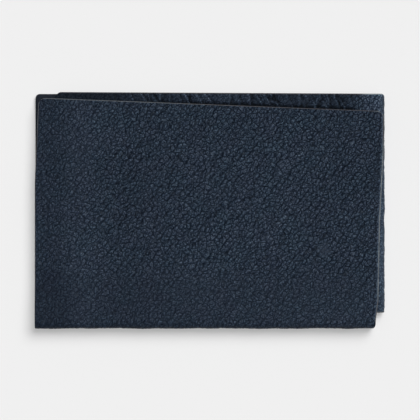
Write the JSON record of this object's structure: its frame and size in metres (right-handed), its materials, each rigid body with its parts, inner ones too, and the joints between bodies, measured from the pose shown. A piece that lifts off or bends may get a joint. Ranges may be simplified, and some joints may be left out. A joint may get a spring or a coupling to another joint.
{
  "type": "card holder",
  "caption": "Slim folded leather card holder: a sewn pocket open at the top, covered by a free flap that folds up from the bottom edge.",
  "frame": {"origin": "centre of the outline, on the plane that the back rests on", "axes": "+X across the width towards the side fold, +Y from the bottom fold to the pocket's mouth, +Z from the back to the flap"},
  "size_m": [0.105, 0.071, 0.0048],
  "materials": {
    "grained_leather": "satin",
    "welt_leather": "matte",
    "thread": "matte"
  },
  "bodies": {
    "pocket": {"back_panel": "grained_leather", "side_fold": "grained_leather", "pocket_wing": "grained_leather", "side_welt": "welt_leather", "bottom_welt": "welt_leather", "side_seam_thread": "thread", "bottom_seam_thread": "thread"},
    "fold": {"bottom_fold": "grained_leather"},
    "flap": {"front_flap": "grained_leather"}
  },
  "joints": [
    {"name": "flap_fold_lower", "type": "hinge", "parent": "pocket", "child": "fold", "pos_m": [0, -0.03451, 0.00099], "axis": [1, 0, 0], "range_deg": [0, 90], "deforming": ["bottom_fold"]},
    {"name": "flap_fold_upper", "type": "hinge", "parent": "fold", "child": "flap", "pos_m": [0, -0.03451, 0.00381], "axis": [1, 0, 0], "range_deg": [0, 90], "deforming": ["bottom_fold"]}
  ],
  "couplings": [
    {"joint": "flap_fold_upper", "follows": "flap_fold_lower", "ratio": 1}
  ]
}
